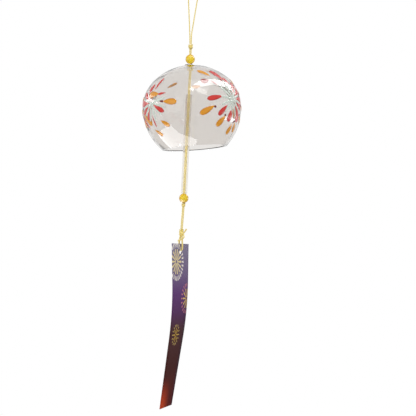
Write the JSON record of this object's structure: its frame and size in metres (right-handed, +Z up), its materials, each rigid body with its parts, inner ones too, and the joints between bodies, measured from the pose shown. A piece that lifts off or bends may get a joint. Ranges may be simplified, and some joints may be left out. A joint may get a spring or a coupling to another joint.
{
  "type": "wind bell",
  "caption": "Blown glass wind bell on a yellow cord, with amber beads, a glass tube clapper and a curled paper strip that catches the wind.",
  "frame": {"origin": "inside top of the hanging loop, where the hook bears", "axes": "+Z up along the hanging line, +X to the right and +Y away from someone who faces the bell"},
  "size_m": [0.0792, 0.0792, 0.3381],
  "materials": {
    "cord": "plied cord, matt",
    "bead": "amber, polished",
    "bell_glass": "clear blown glass, glossy, ground rim",
    "tube_glass": "clear drawn glass, glossy",
    "paper": "printed card, satin"
  },
  "bodies": {
    "hanger": {"hanger_loop": "cord", "top_knot": "cord"},
    "neck": {"neck_cord": "cord"},
    "upper_bead": {"upper_bead": "bead"},
    "bell": {"glass_bell": "bell_glass"},
    "crown_knot": {"crown_knot": "cord"},
    "clapper": {"clapper_cord": "cord", "bead_knot": "cord"},
    "clapper_tube": {"clapper_tube": "tube_glass"},
    "lower_bead": {"lower_bead": "bead"},
    "strip_line": {"strip_cord": "cord"},
    "strip_knot": {"strip_knot": "cord"},
    "strip_loop": {"strip_loop": "cord"},
    "paper_strip": {"paper_strip": "paper"}
  },
  "joints": [
    {"name": "cord_twist", "type": "hinge", "parent": "hanger", "child": "neck", "pos_m": [-0.00225, 0, -0.04885], "axis": [0.0349, 0, 0.9994], "range_deg": [-180, 180]},
    {"name": "upper_bead_slide", "type": "slide", "parent": "neck", "child": "upper_bead", "axis": [0.0349, 0, 0.9994], "range_m": [0, 0.0039]},
    {"name": "bell_tilt", "type": "hinge", "parent": "neck", "child": "bell", "pos_m": [-0.00275, 0, -0.06329], "axis": [0, 1, 0], "range_deg": [-7.8, 16.2]},
    {"name": "clapper_turn", "type": "hinge", "parent": "bell", "child": "crown_knot", "pos_m": [-0.00266, 0, -0.06659], "axis": [-0.0732, 0, 0.9973], "range_deg": [-180, 180]},
    {"name": "clapper_swing", "type": "hinge", "parent": "crown_knot", "child": "clapper", "pos_m": [-0.00266, 0, -0.06659], "axis": [0, 1, 0], "range_deg": [-24.3, 10.3]},
    {"name": "tube_slide", "type": "slide", "parent": "clapper", "child": "clapper_tube", "axis": [0.0488, 0, 0.9988], "range_m": [0, 0.0176]},
    {"name": "lower_bead_spin", "type": "hinge", "parent": "clapper", "child": "lower_bead", "pos_m": [-0.00769, 0, -0.16927], "axis": [0.0488, 0, 0.9988], "continuous": true},
    {"name": "strip_cord_swing", "type": "hinge", "parent": "clapper", "child": "strip_line", "pos_m": [-0.00797, 0, -0.17507], "axis": [0, 1, 0], "range_deg": [-50, 50]},
    {"name": "strip_turn", "type": "hinge", "parent": "strip_line", "child": "strip_knot", "pos_m": [-0.00945, 0, -0.19391], "axis": [0.0785, 0, 0.9969], "range_deg": [-180, 180]},
    {"name": "strip_flap", "type": "hinge", "parent": "strip_knot", "child": "strip_loop", "pos_m": [-0.00982, 0, -0.19864], "axis": [0.3584, 0.9336, 0], "range_deg": [-47, 47]},
    {"name": "strip_pivot", "type": "hinge", "parent": "strip_loop", "child": "paper_strip", "pos_m": [-0.01053, 0.00027, -0.21102], "axis": [0.9336, -0.3584, 0], "range_deg": [-18, 18]}
  ]
}
